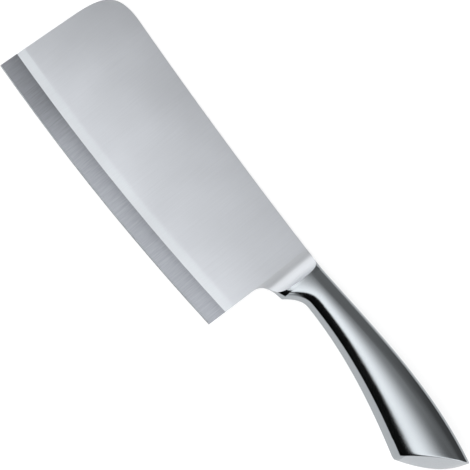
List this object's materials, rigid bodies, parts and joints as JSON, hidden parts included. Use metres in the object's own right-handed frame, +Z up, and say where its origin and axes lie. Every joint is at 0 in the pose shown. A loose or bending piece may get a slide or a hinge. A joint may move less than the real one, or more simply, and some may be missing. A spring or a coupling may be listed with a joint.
{
  "type": "chinese cleaver",
  "caption": "Broad steel kitchen cleaver with a rounded front corner, ground edge bevels, forged bolster and hollow polished steel handle, lying on its flank.",
  "frame": {"origin": "middle of the bounding box, on the table that the cleaver lies on", "axes": "+X from the tip towards the butt of the handle, +Y from the edge towards the spine, +Z up, out of the upper cheek; the knife leans 2 degrees, as it does on a table"},
  "size_m": [0.3263, 0.0767, 0.023],
  "materials": {
    "satin_steel": "stainless steel, satin ground across the blade",
    "forged_steel": "stainless steel, forged and satin ground",
    "polished_steel": "stainless steel, mirror polished"
  },
  "bodies": {
    "root": {"blade": "satin_steel", "bolster": "forged_steel", "handle_shell_upper": "polished_steel", "handle_shell_lower": "polished_steel"}
  },
  "joints": []
}
